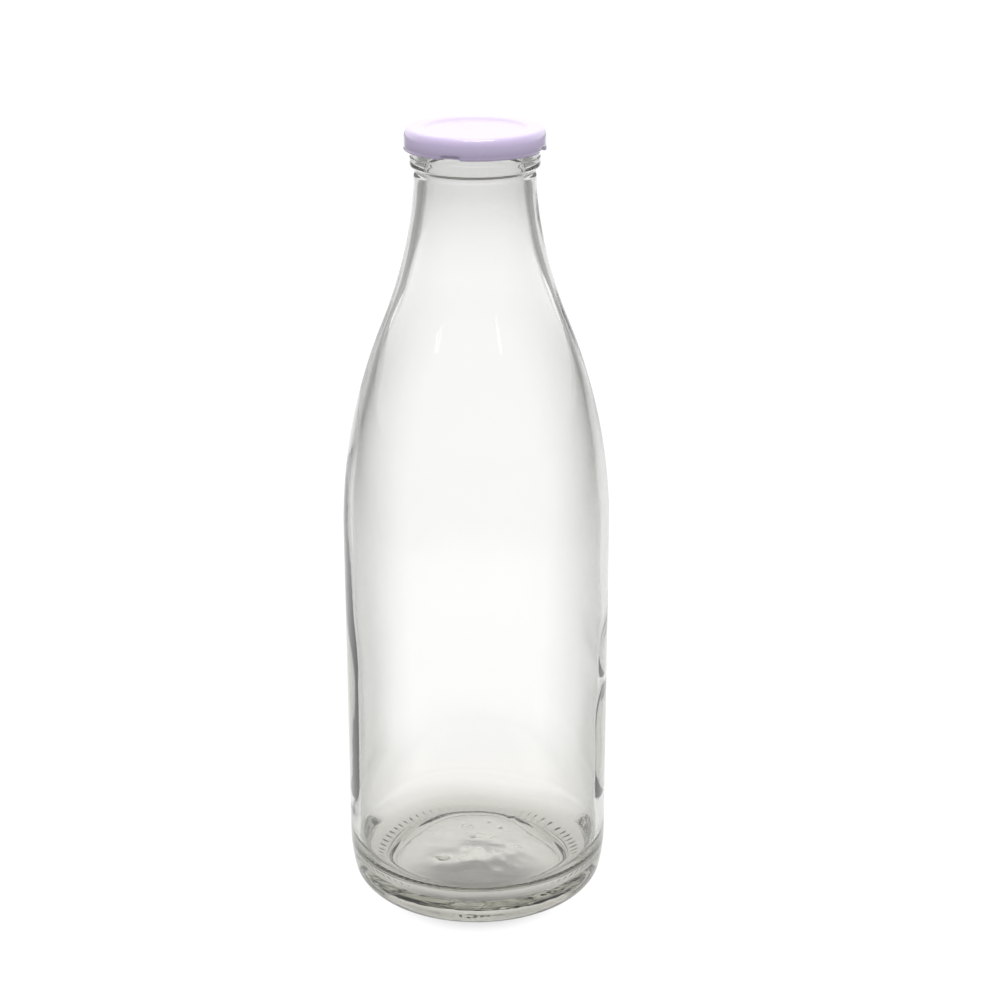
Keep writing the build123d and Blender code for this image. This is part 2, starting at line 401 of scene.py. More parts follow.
def thickness_and_shade_tone_group():
    """Tone of the glass by height, and how much of the painted edge shade shows.

    The tone is deeper at the heel and at the finish: partly the thicker glass there, partly painted shade.
    The painted edge shade fades in the neck.
    """
    tree = bpy.data.node_groups.new("Thickness And Shade Tone", "ShaderNodeTree")
    group_socket(tree, "Height", "INPUT", value=0.2653)
    group_socket(tree, "Tone", "OUTPUT", "NodeSocketColor")
    group_socket(tree, "Edge Share", "OUTPUT")
    start = add_node(tree, "NodeGroupInput", (-700, -150))
    end = add_node(tree, "NodeGroupOutput", (500, 0))
    place = add_node(tree, "ShaderNodeTexCoord", (-900, 100))
    axes = add_node(tree, "ShaderNodeSeparateXYZ", (-700, 100))
    share = add_node(tree, "ShaderNodeMath", (-400, 0), operation="DIVIDE")
    ramp = add_node(tree, "ShaderNodeValToRGB", (-100, 0))
    thin = add_node(
        tree, "ShaderNodeMapRange", (-100, -250), interpolation_type="SMOOTHSTEP",
        From_Min=0.68, From_Max=0.82, To_Min=1.0, To_Max=0.25)
    elements = ramp.color_ramp.elements
    for index, (position, tone) in enumerate(GLASS_TONES_AND_SHADE):
        element = elements[index] if index < 2 else elements.new(position)
        element.position = position
        element.color = (*tone, 1)
    tree.links.new(place.outputs["Object"], axes.inputs["Vector"])
    tree.links.new(axes.outputs["Z"], share.inputs[0])
    tree.links.new(start.outputs["Height"], share.inputs[1])
    tree.links.new(share.outputs[0], ramp.inputs["Fac"])
    tree.links.new(ramp.outputs["Color"], end.inputs["Tone"])
    tree.links.new(share.outputs[0], thin.inputs["Value"])
    tree.links.new(thin.outputs["Result"], end.inputs["Edge Share"])
    return tree


def edge_shade_group():
    """A colour that darkens towards a lower edge: painted shade, as under the cap's rolled edge where the
    light from above does not reach.
    """
    tree = bpy.data.node_groups.new("Edge Shade", "ShaderNodeTree")
    group_socket(tree, "Colour", "INPUT", "NodeSocketColor", (1, 1, 1, 1))
    group_socket(tree, "Edge Height", "INPUT", value=0.0)
    group_socket(tree, "Fade Height", "INPUT", value=0.0)
    group_socket(tree, "Edge Strength", "INPUT", value=0.62)
    group_socket(tree, "Shaded", "OUTPUT", "NodeSocketColor")
    start = add_node(tree, "NodeGroupInput", (-700, -150))
    end = add_node(tree, "NodeGroupOutput", (500, 0))
    place = add_node(tree, "ShaderNodeTexCoord", (-900, 150))
    axes = add_node(tree, "ShaderNodeSeparateXYZ", (-700, 150))
    fade = add_node(tree, "ShaderNodeMapRange", (-400, 100), interpolation_type="SMOOTHSTEP")
    shade = add_node(tree, "ShaderNodeVectorMath", (0, 0), operation="SCALE")
    tree.links.new(place.outputs["Object"], axes.inputs["Vector"])
    tree.links.new(axes.outputs["Z"], fade.inputs["Value"])
    tree.links.new(start.outputs["Edge Height"], fade.inputs["From Min"])
    tree.links.new(start.outputs["Fade Height"], fade.inputs["From Max"])
    tree.links.new(start.outputs["Edge Strength"], fade.inputs["To Min"])
    tree.links.new(start.outputs["Colour"], shade.inputs[0])
    tree.links.new(fade.outputs["Result"], shade.inputs["Scale"])
    tree.links.new(shade.outputs["Vector"], end.inputs["Shaded"])
    return tree


def table_fade_and_shadow_group():
    """1 on the lit part of the table, easing to 0 in front and to the sides, with a painted shadow that
    takes it to 0 under the bottle.
    """
    tree = bpy.data.node_groups.new("Table Fade And Shadow", "ShaderNodeTree")
    group_socket(tree, "Front Start", "INPUT", value=-0.9)
    group_socket(tree, "Front End", "INPUT", value=-0.095)
    group_socket(tree, "Side Start", "INPUT", value=0.19)
    group_socket(tree, "Side Spread", "INPUT", value=0.22)
    group_socket(tree, "Side Fade", "INPUT", value=0.38)
    group_socket(tree, "Shadow Radius", "INPUT", value=0.012)
    group_socket(tree, "Shadow Fade", "INPUT", value=0.034)
    group_socket(tree, "Shadow Mask", "INPUT", value=0.0)
    group_socket(tree, "Mask", "OUTPUT")
    start = add_node(tree, "NodeGroupInput", (-900, -300))
    end = add_node(tree, "NodeGroupOutput", (1200, 0))
    place = add_node(tree, "ShaderNodeTexCoord", (-900, 0))
    # painted shadow: the table dims round a point just in front of the axis, under the bottle
    shift = add_node(tree, "ShaderNodeVectorMath", (-700, -550), operation="ADD")
    shift.inputs[1].default_value = PAINTED_SHADOW_SHIFT
    reach = add_node(tree, "ShaderNodeVectorMath", (-500, -550), operation="LENGTH")
    under = add_node(tree, "ShaderNodeMapRange", (200, -550), interpolation_type="SMOOTHSTEP")
    all_three = add_node(tree, "ShaderNodeMath", (900, 0), operation="MULTIPLY")
    axes = add_node(tree, "ShaderNodeSeparateXYZ", (-700, 0))
    front = add_node(tree, "ShaderNodeMapRange", (-300, 200), interpolation_type="SMOOTHSTEP")
    across = add_node(tree, "ShaderNodeMath", (-500, -100), operation="ABSOLUTE")
    edge = add_node(tree, "ShaderNodeMath", (-300, -300), operation="MULTIPLY_ADD")
    beyond = add_node(tree, "ShaderNodeMath", (-100, -150), operation="SUBTRACT")
    side = add_node(
        tree, "ShaderNodeMapRange", (200, -150), interpolation_type="SMOOTHSTEP", To_Min=1.0, To_Max=0.0)
    both = add_node(tree, "ShaderNodeMath", (600, 0), operation="MULTIPLY")
    tree.links.new(place.outputs["Object"], axes.inputs["Vector"])
    tree.links.new(axes.outputs["Y"], front.inputs["Value"])
    tree.links.new(start.outputs["Front Start"], front.inputs["From Min"])
    tree.links.new(start.outputs["Front End"], front.inputs["From Max"])
    tree.links.new(axes.outputs["X"], across.inputs[0])
    tree.links.new(axes.outputs["Y"], edge.inputs[0])
    tree.links.new(start.outputs["Side Spread"], edge.inputs[1])
    tree.links.new(start.outputs["Side Start"], edge.inputs[2])
    tree.links.new(across.outputs[0], beyond.inputs[0])
    tree.links.new(edge.outputs[0], beyond.inputs[1])
    tree.links.new(beyond.outputs[0], side.inputs["Value"])
    tree.links.new(start.outputs["Side Fade"], side.inputs["From Max"])
    tree.links.new(front.outputs["Result"], both.inputs[0])
    tree.links.new(side.outputs["Result"], both.inputs[1])
    tree.links.new(place.outputs["Object"], shift.inputs[0])
    tree.links.new(shift.outputs[0], reach.inputs[0])
    tree.links.new(reach.outputs["Value"], under.inputs["Value"])
    tree.links.new(start.outputs["Shadow Radius"], under.inputs["From Min"])
    tree.links.new(start.outputs["Shadow Fade"], under.inputs["From Max"])
    tree.links.new(start.outputs["Shadow Mask"], under.inputs["To Min"])
    tree.links.new(both.outputs[0], all_three.inputs[0])
    tree.links.new(under.outputs["Result"], all_three.inputs[1])
    tree.links.new(all_three.outputs[0], end.inputs["Mask"])
    return tree


def place_group(tree, group, place, **values):
    """Put a node group in a material with its own values."""
    node = add_node(tree, "ShaderNodeGroup", place)
    node.node_tree = bpy.data.node_groups.get(group) or GROUPS[group]()
    for key, value in values.items():
        node.inputs[key.replace("_", " ")].default_value = value
    return node


GROUPS = {
    "Handling": handling_group,
    "Ripple": ripple_group,
    "Thickness And Shade Tone": thickness_and_shade_tone_group,
    "Edge Shade": edge_shade_group,
    "Table Fade And Shadow": table_fade_and_shadow_group,
}


def glass_material(settings):
    """Clear soda-lime glass with a faint tint in its thick stretches, painted shade at its slanted edges,
    and a tone by height that is partly painted shade.
    """
    material, tree, output = new_material("Clear Glass")
    surface = add_node(
        tree, "ShaderNodeBsdfPrincipled", (200, 100), IOR=1.52, Transmission_Weight=1.0)
    # painted shade: the base colour darkens towards the painted edge shade where the glass is seen at a
    # slant
    slant = add_node(tree, "ShaderNodeLayerWeight", (-700, 400), Blend=0.5)
    edge = add_node(tree, "ShaderNodeMapRange", (-450, 400), From_Min=0.22, From_Max=1.0)
    tone = add_node(tree, "ShaderNodeMix", (-200, 400), data_type="RGBA")
    tone.inputs[6].default_value = (1, 1, 1, 1)
    tone.inputs[7].default_value = (*settings.painted_edge_shade, 1)
    # partly painted shade: the base colour darkens by height towards the heel and the finish
    height_tone = place_group(tree, "Thickness And Shade Tone", (-450, 650), Height=settings.height)
    blend = add_node(tree, "ShaderNodeMix", (0, 450), data_type="RGBA", blend_type="MULTIPLY")
    blend.inputs[0].default_value = 1.0
    depth = add_node(
        tree, "ShaderNodeVolumeAbsorption", (200, -400),
        Color=(*settings.tint, 1), Density=settings.tint_density)
    handling = place_group(
        tree, "Handling", (-200, 100), Clean_Roughness=0.0, Smear_Roughness=0.03, Smear_Size=40.0)
    ripple = place_group(
        tree, "Ripple", (-200, -200),
        Slow_Size=22.0, Slow_Depth=0.3 * MM, Fine_Size=160.0, Fine_Depth=0.01 * MM)
    tree.links.new(slant.outputs["Facing"], edge.inputs["Value"])
    tree.links.new(height_tone.outputs["Edge Share"], edge.inputs["To Max"])
    tree.links.new(edge.outputs["Result"], tone.inputs[0])
    tree.links.new(tone.outputs[2], blend.inputs[6])
    tree.links.new(height_tone.outputs["Tone"], blend.inputs[7])
    tree.links.new(blend.outputs[2], surface.inputs["Base Color"])
    tree.links.new(handling.outputs["Roughness"], surface.inputs["Roughness"])
    tree.links.new(ripple.outputs["Normal"], surface.inputs["Normal"])
    tree.links.new(surface.outputs["BSDF"], output.inputs["Surface"])
    tree.links.new(depth.outputs["Volume"], output.inputs["Volume"])
    return material


def coated_material(name, colour, roughness, coat, grain, edge=None):
    """A painted or lacquered sheet: colour that drifts slightly, gloss with smears, fine grain.

    edge, if given, sets painted shade: the height where the colour is darkest, and the height where it
    starts to darken.
    """
    material, tree, output = new_material(name)
    surface = add_node(
        tree, "ShaderNodeBsdfPrincipled", (200, 100),
        IOR=1.5, Coat_Weight=coat, Coat_Roughness=0.06)
    place = add_node(tree, "ShaderNodeTexCoord", (-900, 300))
    drift = add_node(tree, "ShaderNodeTexNoise", (-650, 300), Scale=90.0, Detail=4.0, Roughness=0.6)
    shade = add_node(tree, "ShaderNodeMix", (-250, 350), data_type="RGBA")
    shade.inputs[6].default_value = (*[value * DRIFT_DARK for value in colour], 1)
    shade.inputs[7].default_value = (*[min(value * DRIFT_LIGHT, 1.0) for value in colour], 1)
    handling = place_group(
        tree, "Handling", (-250, 50),
        Clean_Roughness=roughness, Smear_Roughness=roughness + SMEAR, Smear_Size=120.0)
    ripple = place_group(
        tree, "Ripple", (-250, -200),
        Slow_Size=120.0, Slow_Depth=0.03 * MM, Fine_Size=1800.0, Fine_Depth=grain)
    tree.links.new(place.outputs["Object"], drift.inputs["Vector"])
    tree.links.new(drift.outputs["Fac"], shade.inputs[0])
    coat_colour = shade.outputs[2]
    if edge:
        rim = place_group(tree, "Edge Shade", (0, 300), Edge_Height=edge[0], Fade_Height=edge[1])
        tree.links.new(coat_colour, rim.inputs["Colour"])
        coat_colour = rim.outputs["Shaded"]
    tree.links.new(coat_colour, surface.inputs["Base Color"])
    tree.links.new(handling.outputs["Roughness"], surface.inputs["Roughness"])
    tree.links.new(ripple.outputs["Normal"], surface.inputs["Normal"])
    tree.links.new(surface.outputs["BSDF"], output.inputs["Surface"])
    return material


# Bottle

CROWN_RADIUS = 188.9 * MM
THROAT_RADIUS = 146.4 * MM
SETTLE_RADIUS = 46.7 * MM
SETTLE_ANGLE = 5.36
HEEL_RADIUS = 7.5 * MM
HEEL_BLEND_RADIUS = 59.0 * MM
HEEL_BLEND_ANGLE = 12.3
BEARING_WIDTH = 1.8 * MM
PUSH_UP_EDGE_RADIUS = 3.0 * MM
PUSH_UP_WALL_RADIUS = 9.0 * MM
PUSH_UP_SLOPE = 50.0
PUSH_UP_DOME_ANGLE = 5.0
FLOOR_DOME_ANGLE = 9.0
FLOOR_CORNER_RADIUS = 13.0 * MM
FINISH_HEIGHT = 14.2 * MM
NECK_STRAIGHT = 1.5 * MM
GROOVE_DEPTH = 0.36 * MM
GROOVE_RISE = 1.4 * MM
BEAD_FLARE_RISE = 2.3 * MM
BEAD_HEIGHT = 2.4 * MM
BEAD_PROUD = 0.2 * MM
BEAD_TOP_RISE = 0.6 * MM
FINISH_STEP = 1.04 * MM
LIP_RADIUS = 1.5 * MM
BORE_LIP_RADIUS = 1.3 * MM
SPIN_STEPS = 288

# Lug thread
LUG_COUNT = 4
FIRST_LUG_ANGLE = -20.0
LUG_ANGLES = [FIRST_LUG_ANGLE + index * 360 / LUG_COUNT for index in range(LUG_COUNT)]
THREAD_LEAD = 14.4 * MM
THREAD_HEIGHT = 1.15 * MM
THREAD_HALF = 0.72 * MM
THREAD_CREST = 1.7  # above 1 the ridge is flat along its crest
THREAD_START = -13.0
THREAD_END = 46.0
THREAD_FADE = 6.0
THREAD_ABOVE_LUG = 2.44 * MM  # from the cap's lowest line to the ridge above the middle of a lug

# Rounded corners of the push-up
PUSH_UP_CORNER = 3.5 * MM
PUSH_UP_CORNER_ANGLES = (36.0, 146.0)
PUSH_UP_CORNER_SPAN = 43.0
PUSH_UP_CORNER_START = 16.0 * MM
PUSH_UP_CORNER_RISE = 10.0 * MM
PUSH_UP_CORNER_FALL = 4.0 * MM
PUSH_UP_TOP = 9.0 * MM  # the underside lies below this height, and the inside floor above it

# Mould seam and knurled heel
SEAM_ANGLES = (-75.0, 105.0)
SEAM_HEIGHT = 0.05 * MM
SEAM_FOOT = 8.0 * MM
KNURL_DEPTH = 0.6 * MM
KNURL_OFFSET = 1.6 * MM  # from the bearing ring to the middle of the knurls
KNURL_REACH = 3.2 * MM
KNURL_TOP = 3.0 * MM

# Swells of the inner wall at the left and the right
SWELL_DEPTH = 2.2 * MM
SWELL_FOOT = 30.0 * MM
SWELL_FOOT_RISE = 12.0 * MM
LEFT_SWELL_ANGLE = 172.0
LEFT_SWELL_SPAN = 34.0
LEFT_SWELL_TOP = 74.0 * MM
LEFT_SWELL_FADE = 60.0 * MM
RIGHT_SWELL_ANGLE = 3.0
RIGHT_SWELL_SPAN = 28.0
RIGHT_SWELL_TOP = 64.0 * MM
RIGHT_SWELL_FADE = 13.0 * MM
RIGHT_SWELL_SHARE = 0.9
HOOK_SPAN = 26.0
HOOK_HEIGHT = 87.0 * MM
HOOK_REACH = 13.0 * MM
HOOK_SHARE = 0.7

# Slow waves of the inner wall, the inside floor and its front corner
WALL_WAVE_DEPTH = 0.9 * MM
WALL_WAVE_SIZE = 45.0 * MM
WALL_WAVE_FOOT = 12.0 * MM
WALL_WAVE_FOOT_RISE = 25.0 * MM
WALL_WAVE_TOP = 235.0 * MM
WALL_WAVE_FADE = 15.0 * MM
FLOOR_WAVE_DEPTH = 2.6 * MM
FLOOR_WAVE_SIZE = 8.0 * MM
FLOOR_WAVE_REACH = 34.0 * MM
FLOOR_WAVE_TOP = 16.0 * MM
CORNER_WAVE_DEPTH = 1.2 * MM
CORNER_WAVE_SIZE = 4.0 * MM
CORNER_WAVE_RADIUS = 32.0 * MM
CORNER_WAVE_REACH = 9.0 * MM
CORNER_WAVE_TOP = 20.0 * MM
CORNER_WAVE_SPAN = 60.0
CORNER_WAVE_LEVEL = 1.2  # above 1 the wave is full on both sides of the front
FRONT_ANGLE = -90.0


def shoulder_steps(wide, narrow, inset, rows):
    """The arcs from an upright body wall to an upright neck, and their rise."""
    crown = CROWN_RADIUS - inset
    throat = THROAT_RADIUS + inset
    settle = SETTLE_RADIUS + inset
    settle_cos = cos(radians(SETTLE_ANGLE))
    turn_cos = (crown + throat * settle_cos + settle * (1 - settle_cos) - (wide - narrow)) / (crown + throat)
    turn = degrees(acos(turn_cos))
    rise = (crown + throat) * sin(radians(turn)) - (throat - settle) * sin(radians(SETTLE_ANGLE))
    steps = [(crown, turn, rows), (throat, SETTLE_ANGLE - turn, rows), (settle, -SETTLE_ANGLE, rows // 4)]
    return steps, rise


def bottle_outline(settings):
    """Outline of the glass from under its base, over the rim and down to its inside floor."""
    body = settings.body_radius
    neck = settings.neck_radius
    inner = body - settings.body_wall
    bore = neck - settings.neck_wall
    outer_shoulder, outer_rise = shoulder_steps(body, neck, 0, 20)
    inner_shoulder, inner_rise = shoulder_steps(inner, bore, settings.body_wall, 20)
    heel_turn = 90.0 - HEEL_BLEND_ANGLE
    heel_height = (
        HEEL_RADIUS * (1 - cos(radians(heel_turn)))
        + HEEL_BLEND_RADIUS * sin(radians(HEEL_BLEND_ANGLE)))
    bearing = (
        body
        - HEEL_RADIUS * sin(radians(heel_turn))
        - HEEL_BLEND_RADIUS * (1 - cos(radians(HEEL_BLEND_ANGLE))))
    dome_run = (
        bearing - BEARING_WIDTH
        - PUSH_UP_EDGE_RADIUS * sin(radians(PUSH_UP_SLOPE))
        - PUSH_UP_WALL_RADIUS * (sin(radians(PUSH_UP_SLOPE)) - sin(radians(PUSH_UP_DOME_ANGLE))))
    dome_radius = dome_run / sin(radians(PUSH_UP_DOME_ANGLE))
    push_up = (
        PUSH_UP_EDGE_RADIUS * (1 - cos(radians(PUSH_UP_SLOPE)))
        + PUSH_UP_WALL_RADIUS * (cos(radians(PUSH_UP_DOME_ANGLE)) - cos(radians(PUSH_UP_SLOPE)))
        + dome_radius * (1 - cos(radians(PUSH_UP_DOME_ANGLE))))
    shoulder_base = settings.height - FINISH_HEIGHT - NECK_STRAIGHT - outer_rise
    bead_rise = BEAD_FLARE_RISE + BEAD_HEIGHT + BEAD_TOP_RISE
    finish_wall = FINISH_HEIGHT - GROOVE_RISE - bead_rise - LIP_RADIUS
    floor_run = inner - FLOOR_CORNER_RADIUS * (1 + sin(radians(FLOOR_DOME_ANGLE)))
    floor_radius = floor_run / sin(radians(FLOOR_DOME_ANGLE))
    floor_edge = settings.floor_height - floor_radius * (1 - cos(radians(FLOOR_DOME_ANGLE)))
    inner_heel = floor_edge + FLOOR_CORNER_RADIUS * cos(radians(FLOOR_DOME_ANGLE))
    bore_height = settings.height - BORE_LIP_RADIUS - shoulder_base - inner_rise
    base = path_points((0, push_up), 0, [
        (dome_radius, -PUSH_UP_DOME_ANGLE, 14),
        (PUSH_UP_WALL_RADIUS, PUSH_UP_DOME_ANGLE - PUSH_UP_SLOPE, 10),
        (PUSH_UP_EDGE_RADIUS, PUSH_UP_SLOPE, 8),
        (0, BEARING_WIDTH, 2),
    ])
    outside = path_points(base[-1], 0, [
        (HEEL_RADIUS, heel_turn, 26),
        (HEEL_BLEND_RADIUS, HEEL_BLEND_ANGLE, 8),
        (0, shoulder_base - heel_height, 10),
        *outer_shoulder,
        (0, NECK_STRAIGHT, 1),
        *side_step(GROOVE_DEPTH, GROOVE_RISE, 3),
        *side_step(-GROOVE_DEPTH - FINISH_STEP - BEAD_PROUD, BEAD_FLARE_RISE, 5),
        (0, BEAD_HEIGHT, 3),
        *side_step(BEAD_PROUD, BEAD_TOP_RISE, 2),
        (0, finish_wall, 26),
        (LIP_RADIUS, 90, 8),
    ])
    inside = path_points((0, settings.floor_height), 0, [
        (floor_radius, -FLOOR_DOME_ANGLE, 20),
        (FLOOR_CORNER_RADIUS, 90 + FLOOR_DOME_ANGLE, 22),
        (0, shoulder_base - inner_heel, 44),
        *inner_shoulder,
        (0, bore_height, 8),
        (BORE_LIP_RADIUS, -90, 6),
    ])
    points = base + outside[1:] + inside[::-1]
    groups = {
        "outside": (len(base), len(base) + len(outside) - 2),
        "inside": (len(base) + len(outside) - 1, len(points) - 1),
    }
    return points, groups


def corner_push_up(piece, rim):
    """Pull the underside in at two back corners, between its dome and its rim."""
    for vertex in piece.data.vertices:
        x, y, z = vertex.co
        radius = hypot(x, y)
        if z > PUSH_UP_TOP or radius > rim:
            continue
        angle = degrees(atan2(y, x))
        corner = max(
            swell(apart(angle, corner_angle), PUSH_UP_CORNER_SPAN)
            for corner_angle in PUSH_UP_CORNER_ANGLES)
        share = ease((radius - PUSH_UP_CORNER_START) / PUSH_UP_CORNER_RISE)
        share *= ease((rim - radius) / PUSH_UP_CORNER_FALL)
        vertex.co.x -= x / max(radius, MM) * PUSH_UP_CORNER * corner * share
        vertex.co.y -= y / max(radius, MM) * PUSH_UP_CORNER * corner * share


def model_bottle(settings):
    """The whole glass: spun, then cornered, threaded, knurled, seamed and made uneven inside."""
    points, groups = bottle_outline(settings)
    piece = spin_outline("bottle_glass", points, groups, SPIN_STEPS)
    cap_bottom = SHELL_BOX[0].z
    bearing = points[groups["outside"][0] - 1][0]

    def thread(radius, angle, height):
        most = 0.0
        for lug_angle in LUG_ANGLES:
            along = apart(angle, lug_angle)
            ridge = cap_bottom + THREAD_ABOVE_LUG + THREAD_LEAD / 360 * along
            ends = min(along - THREAD_START, THREAD_END - along) / THREAD_FADE
            flank = THREAD_CREST * (1 - abs(height - ridge) / THREAD_HALF)
            most = max(most, ease(flank) * ease(ends))
        return most

    def seam(radius, angle, height):
        step = 360 / SPIN_STEPS
        line = max(swell(apart(angle, seam_angle), step) for seam_angle in SEAM_ANGLES)
        return line * ease(height / SEAM_FOOT)

    def knurl(radius, angle, height):
        if height > KNURL_TOP:
            return 0.0
        wave = cos(radians(angle * settings.knurl_count))
        return ease(0.5 + 0.5 * wave) * swell(radius - bearing - KNURL_OFFSET, KNURL_REACH)

    corner_push_up(piece, bearing - BEARING_WIDTH)
    press(piece, weigh(piece, "thread", thread, "outside"), THREAD_HEIGHT)
    press(piece, weigh(piece, "knurl", knurl), -KNURL_DEPTH)
    press(piece, weigh(piece, "seam", seam, "outside"), SEAM_HEIGHT)

    def side_swell(radius, angle, height):
        foot = ease((height - SWELL_FOOT) / SWELL_FOOT_RISE)
        left = swell(apart(angle, LEFT_SWELL_ANGLE), LEFT_SWELL_SPAN) * foot
        left *= 1 - ease((height - LEFT_SWELL_TOP) / LEFT_SWELL_FADE)
        right = swell(apart(angle, RIGHT_SWELL_ANGLE), RIGHT_SWELL_SPAN) * foot
        right *= 1 - ease((height - RIGHT_SWELL_TOP) / RIGHT_SWELL_FADE)
        hook = swell(apart(angle, RIGHT_SWELL_ANGLE), HOOK_SPAN) * swell(height - HOOK_HEIGHT, HOOK_REACH)
        return max(left, RIGHT_SWELL_SHARE * right, HOOK_SHARE * hook)

    def wall_wave(radius, angle, height):
        foot = ease((height - WALL_WAVE_FOOT) / WALL_WAVE_FOOT_RISE)
        return foot * (1 - ease((height - WALL_WAVE_TOP) / WALL_WAVE_FADE))

    def floor_wave(radius, angle, height):
        return swell(radius, FLOOR_WAVE_REACH) if height < FLOOR_WAVE_TOP else 0.0

    def corner_wave(radius, angle, height):
        if height >= CORNER_WAVE_TOP:
            return 0.0
        front = ease(CORNER_WAVE_LEVEL - abs(apart(angle, FRONT_ANGLE)) / CORNER_WAVE_SPAN)
        return front * swell(radius - CORNER_WAVE_RADIUS, CORNER_WAVE_REACH)

    press(piece, weigh(piece, "side_swell", side_swell, "inside"), SWELL_DEPTH)
    for name, weight_at, depth, texture, size in (
        ("wall_wave", wall_wave, WALL_WAVE_DEPTH, "Settled Glass", WALL_WAVE_SIZE),
        ("floor_wave", floor_wave, FLOOR_WAVE_DEPTH, "Chilled Floor", FLOOR_WAVE_SIZE),
        ("corner_wave", corner_wave, CORNER_WAVE_DEPTH, "Chilled Corner", CORNER_WAVE_SIZE),
    ):
        press(piece, weigh(piece, name, weight_at, "inside"), depth, cloud(texture, size))
    piece.data.materials.append(glass_material(settings))
    return piece


# Cap

PANEL_RECESS = 0.8 * MM
PANEL_STEP_RUN = 3.0 * MM
PANEL_RADIUS = 14.66 * MM
TOP_CORNER_RADIUS = 1.5 * MM
TOP_CORNER_TURN = 55.0
SKIRT_CORNER_RADIUS = 3.6 * MM
CURL_RADIUS = 0.42 * MM
CURL_RETURN = 0.45 * MM
FLARE_ANGLE = 18.0
FLARE_RADIUS = 0.8 * MM
FLARE_RUN = 0.37 * MM
CAP_STEPS = 240
LUG_HALF_SPAN = 10.0
LUG_SIDE = 4.0
LUG_DEPTH = 1.0 * MM
LUG_LIFT = 0.3 * MM
LUG_TOP = 0.9 * MM  # a lug fades from here, above the cap's lowest line
LUG_FADE = 1.0 * MM
LUG_INNER_SHARE = 0.9  # the panel, inside this share of the radius, stays as it is
EDGE_SHADE_LOW = -0.5 * MM  # the enamel's shade, from the cap's lowest line
EDGE_SHADE_HIGH = 5.0 * MM
COAT_GRAIN = 0.004 * MM


def shell_steps(settings, offset):
    """The sheet's outer face, or the face that lies offset inside it."""
    flare = radians(FLARE_ANGLE)
    skirt = (
        settings.radius
        - (FLARE_RADIUS + CURL_RADIUS) * (1 - cos(flare))
        - FLARE_RUN * sin(flare))
    corner_sin = sin(radians(TOP_CORNER_TURN))
    corner_cos = cos(radians(TOP_CORNER_TURN))
    corner_run = TOP_CORNER_RADIUS * corner_sin + SKIRT_CORNER_RADIUS * (1 - corner_sin)
    corner_drop = TOP_CORNER_RADIUS * (1 - corner_cos) + SKIRT_CORNER_RADIUS * corner_cos
    curl_drop = (FLARE_RADIUS + CURL_RADIUS) * sin(flare) + FLARE_RUN * cos(flare) + CURL_RADIUS
    rim_flat = skirt - corner_run - PANEL_RADIUS - PANEL_STEP_RUN
    straight = settings.top - settings.bottom - corner_drop - curl_drop
    steps = [
        (0, PANEL_RADIUS, 10),
        *side_step(PANEL_RECESS, PANEL_STEP_RUN, 5),
        (0, rim_flat, 3),
        (TOP_CORNER_RADIUS, -TOP_CORNER_TURN, 8),
        (SKIRT_CORNER_RADIUS, TOP_CORNER_TURN - 90, 6),
        (0, straight, 8),
        (FLARE_RADIUS, FLARE_ANGLE, 4),
        (0, FLARE_RUN, 2),
        (CURL_RADIUS, -180 - FLARE_ANGLE, 14),
        (0, CURL_RETURN, 3),
    ]
    shifted = []
    for radius, amount, rows in steps:
        side = 0 if radius == 0 else (offset if amount > 0 else -offset)
        shifted.append((radius + side, amount, rows))
    return shifted


def model_cap(settings):
    """The pressed cap: one spun sheet with four lugs pushed in from its rolled edge."""
    panel_top = settings.top - PANEL_RECESS
    outer = path_points((0, panel_top), 0, shell_steps(settings, 0))
    inner = path_points((0, panel_top - settings.sheet), 0, shell_steps(settings, settings.sheet))
    points = outer + inner[::-1]
    groups = {"inner": (len(outer), len(points) - 1)}
    piece = spin_outline("cap_pressing", points, groups, CAP_STEPS)
    for vertex in piece.data.vertices:
        x, y, z = vertex.co
        radius = hypot(x, y)
        angle = degrees(atan2(y, x))
        near = max(
            ease((LUG_HALF_SPAN - abs(apart(angle, lug_angle))) / LUG_SIDE)
            for lug_angle in LUG_ANGLES)
        low = 1 - ease((z - settings.bottom - LUG_TOP) / LUG_FADE)
        if radius > LUG_INNER_SHARE * settings.radius and near * low > 0:
            share = (radius - LUG_DEPTH * near * low) / radius
            vertex.co.x *= share
            vertex.co.y *= share
            vertex.co.z += LUG_LIFT * near * low
    # painted shade: the enamel darkens towards the rolled edge
    shade = (settings.bottom + EDGE_SHADE_LOW, settings.bottom + EDGE_SHADE_HIGH)
    enamel = coated_material("Lilac Enamel", settings.enamel, 0.22, 0.8, COAT_GRAIN, shade)
    lacquer = coated_material("Inner Lacquer", settings.lacquer, 0.35, 0.2, COAT_GRAIN)
    piece.data.materials.append(enamel)
    piece.data.materials.append(lacquer)
    inner_group = piece.vertex_groups["inner"].index
    inner_vertices = {
        vertex.index for vertex in piece.data.vertices
        if inner_group in [membership.group for membership in vertex.groups]}
    for face in piece.data.polygons:
        if all(index in inner_vertices for index in face.vertices):
            face.material_index = 1
    return piece


# Gasket

GASKET_GAP = 0.1 * MM  # from the end of the panel's step to the ring
GASKET_EDGE = 0.25 * MM
GASKET_LIP = 0.1 * MM
GASKET_GROOVE = 0.12 * MM
COMPOUND_GRAIN = 0.01 * MM


